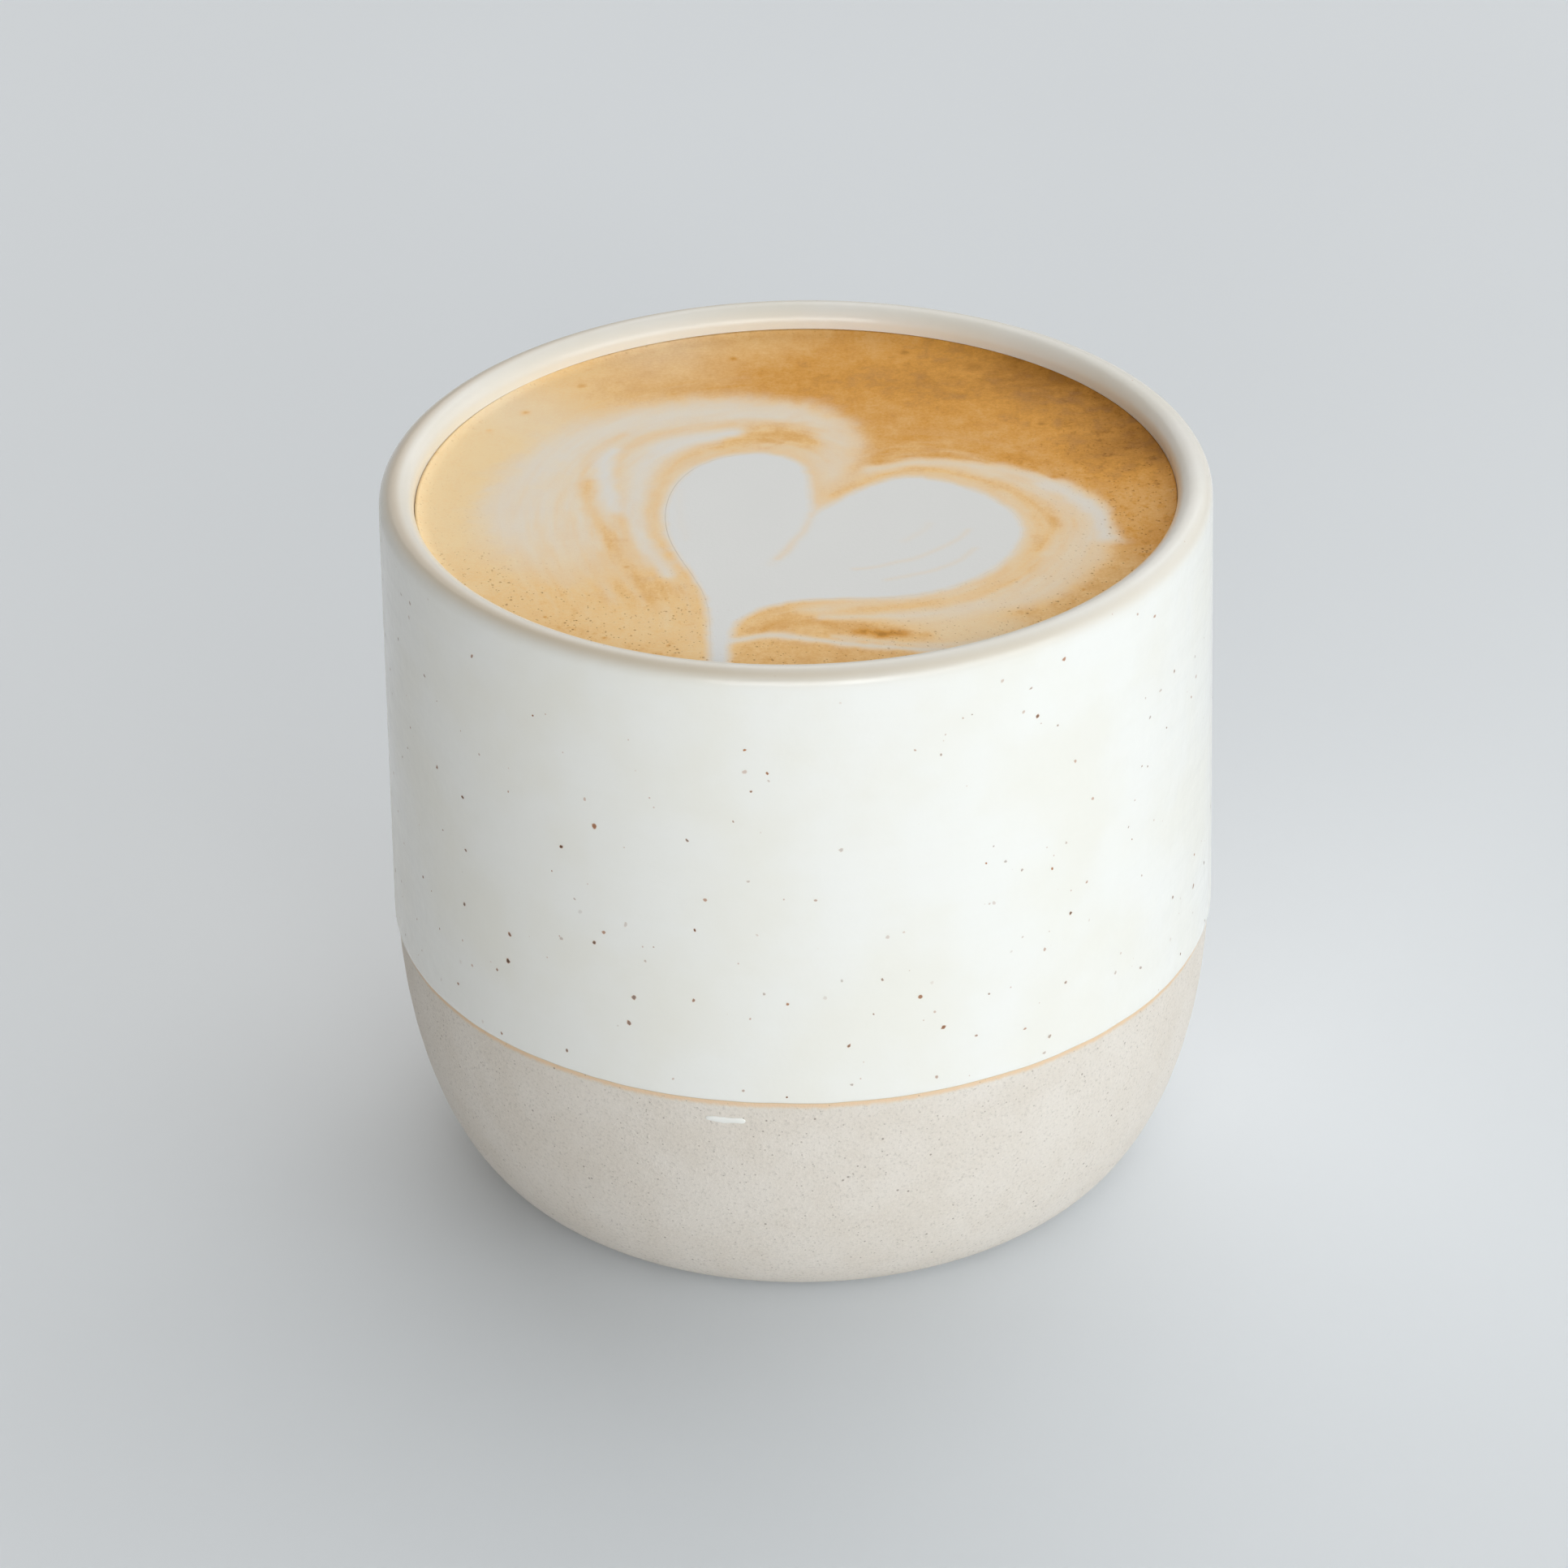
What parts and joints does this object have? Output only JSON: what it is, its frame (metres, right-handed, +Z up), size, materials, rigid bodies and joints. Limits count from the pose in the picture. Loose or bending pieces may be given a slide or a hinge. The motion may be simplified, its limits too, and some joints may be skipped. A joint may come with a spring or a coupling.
{
  "type": "cortado in a stoneware cup",
  "caption": "Espresso cut with steamed milk, a poured milk heart on its crema, in a handle-less speckled stoneware tumbler with a bare clay foot",
  "frame": {"origin": "on the table, under the cup's axis", "axes": "+Z up along the cup's axis, the tail of the milk heart points to -Y, +X to the right of it"},
  "size_m": [0.0746, 0.0746, 0.0672],
  "materials": {
    "stoneware": "glossy cream glaze with iron specks above a line, bare sandy clay below it",
    "crema": "matte golden brown crema, darker to one side, with fine bubbles and pale swirls",
    "milk_foam": "matte white fine milk foam"
  },
  "bodies": {
    "root": {"cup": "stoneware", "drink": "crema", "milk_heart": "milk_foam"}
  },
  "joints": []
}
